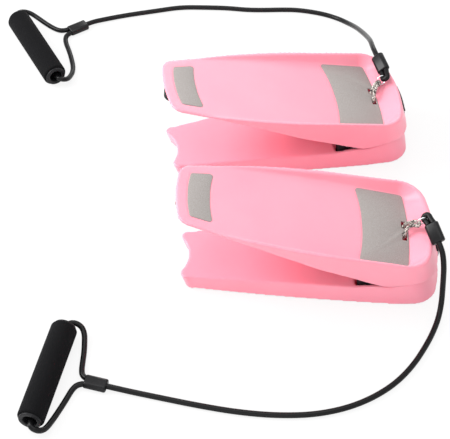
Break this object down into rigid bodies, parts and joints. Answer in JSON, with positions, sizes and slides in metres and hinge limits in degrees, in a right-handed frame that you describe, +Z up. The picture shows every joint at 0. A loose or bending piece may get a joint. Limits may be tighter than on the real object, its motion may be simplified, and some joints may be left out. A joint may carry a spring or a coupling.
{
  "type": "mini stepper",
  "caption": "Pair of rocking wedge pedals on moulded bases, each with grey treads, inner return springs and an elastic cord with a foam pull handle.",
  "frame": {"origin": "on the floor, under the middle of the front unit's middle foot strip", "axes": "+X towards the toe end of the front unit, +Y from the front unit to the back unit, +Z up"},
  "size_m": [0.6842, 0.8903, 0.159],
  "materials": {
    "pink_shell": "moulded",
    "grey_tread": "fine matt",
    "black_rubber": "matt",
    "steel": "turned",
    "spring_steel": "drawn wire",
    "black_nylon": "moulded",
    "acetal": "moulded",
    "black_tube": "extruded",
    "braided_rope": "braided",
    "bright_ring": "polished",
    "black_foam": "fine cell",
    "moulded_sleeve": "moulded"
  },
  "bodies": {
    "stand": {"front_base": "pink_shell", "front_base_feet": "black_rubber", "front_toe_bumper": "black_rubber", "front_pivot_axle": "steel", "front_axle_clips": "steel", "front_bearing_blocks": "black_nylon", "front_block_screws": "steel", "front_lower_spring_seats": "black_nylon", "front_return_springs": "spring_steel", "front_cord": "black_tube", "front_handle_sleeve": "moulded_sleeve", "front_handle_strap": "black_tube", "back_base": "pink_shell", "back_base_feet": "black_rubber", "back_toe_bumper": "black_rubber", "back_pivot_axle": "steel", "back_axle_clips": "steel", "back_bearing_blocks": "black_nylon", "back_block_screws": "steel", "back_lower_spring_seats": "black_nylon", "back_return_springs": "spring_steel", "back_cord": "black_tube", "back_handle_sleeve": "moulded_sleeve", "back_handle_strap": "black_tube"},
    "front_pedal": {"front_pedal": "pink_shell", "front_heel_pad": "grey_tread", "front_toe_pad": "grey_tread", "front_toe_buffer": "black_rubber", "front_heel_bumper": "black_rubber", "front_pedal_bushes": "acetal", "front_upper_spring_seats": "black_nylon", "front_tether_rope": "braided_rope", "front_tether_ring": "bright_ring", "front_cord_loop": "black_tube", "front_hook_sleeve": "moulded_sleeve"},
    "front_grip": {"front_grip_foam": "black_foam", "front_grip_core": "black_nylon"},
    "back_pedal": {"back_pedal": "pink_shell", "back_heel_pad": "grey_tread", "back_toe_pad": "grey_tread", "back_toe_buffer": "black_rubber", "back_heel_bumper": "black_rubber", "back_pedal_bushes": "acetal", "back_upper_spring_seats": "black_nylon", "back_tether_rope": "braided_rope", "back_tether_ring": "bright_ring", "back_cord_loop": "black_tube", "back_hook_sleeve": "moulded_sleeve"},
    "back_grip": {"back_grip_foam": "black_foam", "back_grip_core": "black_nylon"}
  },
  "joints": [
    {"name": "front_pedal_rock", "type": "hinge", "parent": "stand", "child": "front_pedal", "pos_m": [0.082, 0, 0.042], "axis": [0, -1, 0], "range_deg": [0, 20], "stiffness_Nm_per_rad": 20, "springref_deg": -8.59, "deforming": ["front_return_springs", "front_cord"]},
    {"name": "front_grip_turn", "type": "hinge", "parent": "stand", "child": "front_grip", "pos_m": [-0.366, -0.21, 0.0192], "axis": [0.2134, 0.977, 0], "continuous": true},
    {"name": "back_pedal_rock", "type": "hinge", "parent": "stand", "child": "back_pedal", "pos_m": [0.05369, 0.27023, 0.042], "axis": [0.1891, -0.982, 0], "range_deg": [0, 20], "stiffness_Nm_per_rad": 20, "springref_deg": -8.59, "deforming": ["back_return_springs", "back_cord"]},
    {"name": "back_grip_turn", "type": "hinge", "parent": "stand", "child": "back_grip", "pos_m": [-0.442, 0.4593, 0.0192], "axis": [-0.4695, 0.8829, 0], "continuous": true}
  ]
}
